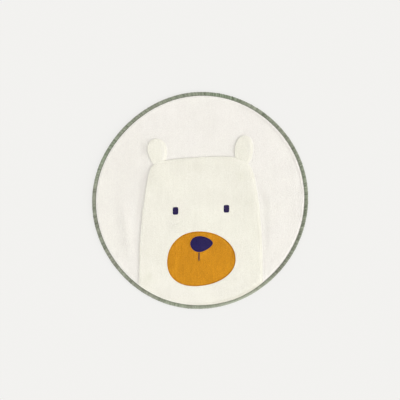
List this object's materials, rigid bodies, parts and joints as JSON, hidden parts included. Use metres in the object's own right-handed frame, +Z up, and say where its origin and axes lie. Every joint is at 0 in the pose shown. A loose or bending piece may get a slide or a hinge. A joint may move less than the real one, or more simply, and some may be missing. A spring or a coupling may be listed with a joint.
{
  "type": "round kids rug with a bear face",
  "caption": "Round tufted kids' rug with a raised cream bear head, mustard muzzle, navy nose and eyes, and a sage green bound rim, for a nursery floor.",
  "frame": {"origin": "centre of the rug's underside, on the floor it lies on", "axes": "+Z up out of the pile, +Y towards the crown of the bear's head, +X to the right of the face as seen from above"},
  "size_m": [0.9991, 1.0032, 0.0196],
  "materials": {
    "cream_pile": "short matt cut pile, off-white",
    "head_pile": "taller soft cut pile, warm cream",
    "mustard_pile": "matt cut pile, mustard",
    "navy_pile": "matt cut pile, navy",
    "sage_yarn": "wrapped matt yarn, sage green"
  },
  "bodies": {
    "root": {"rug_ground": "cream_pile", "bear_head": "head_pile", "ear_left": "head_pile", "ear_right": "head_pile", "muzzle": "mustard_pile", "nose": "navy_pile", "mouth_line": "navy_pile", "eye_left": "navy_pile", "eye_right": "navy_pile", "edge_binding": "sage_yarn"}
  },
  "joints": []
}
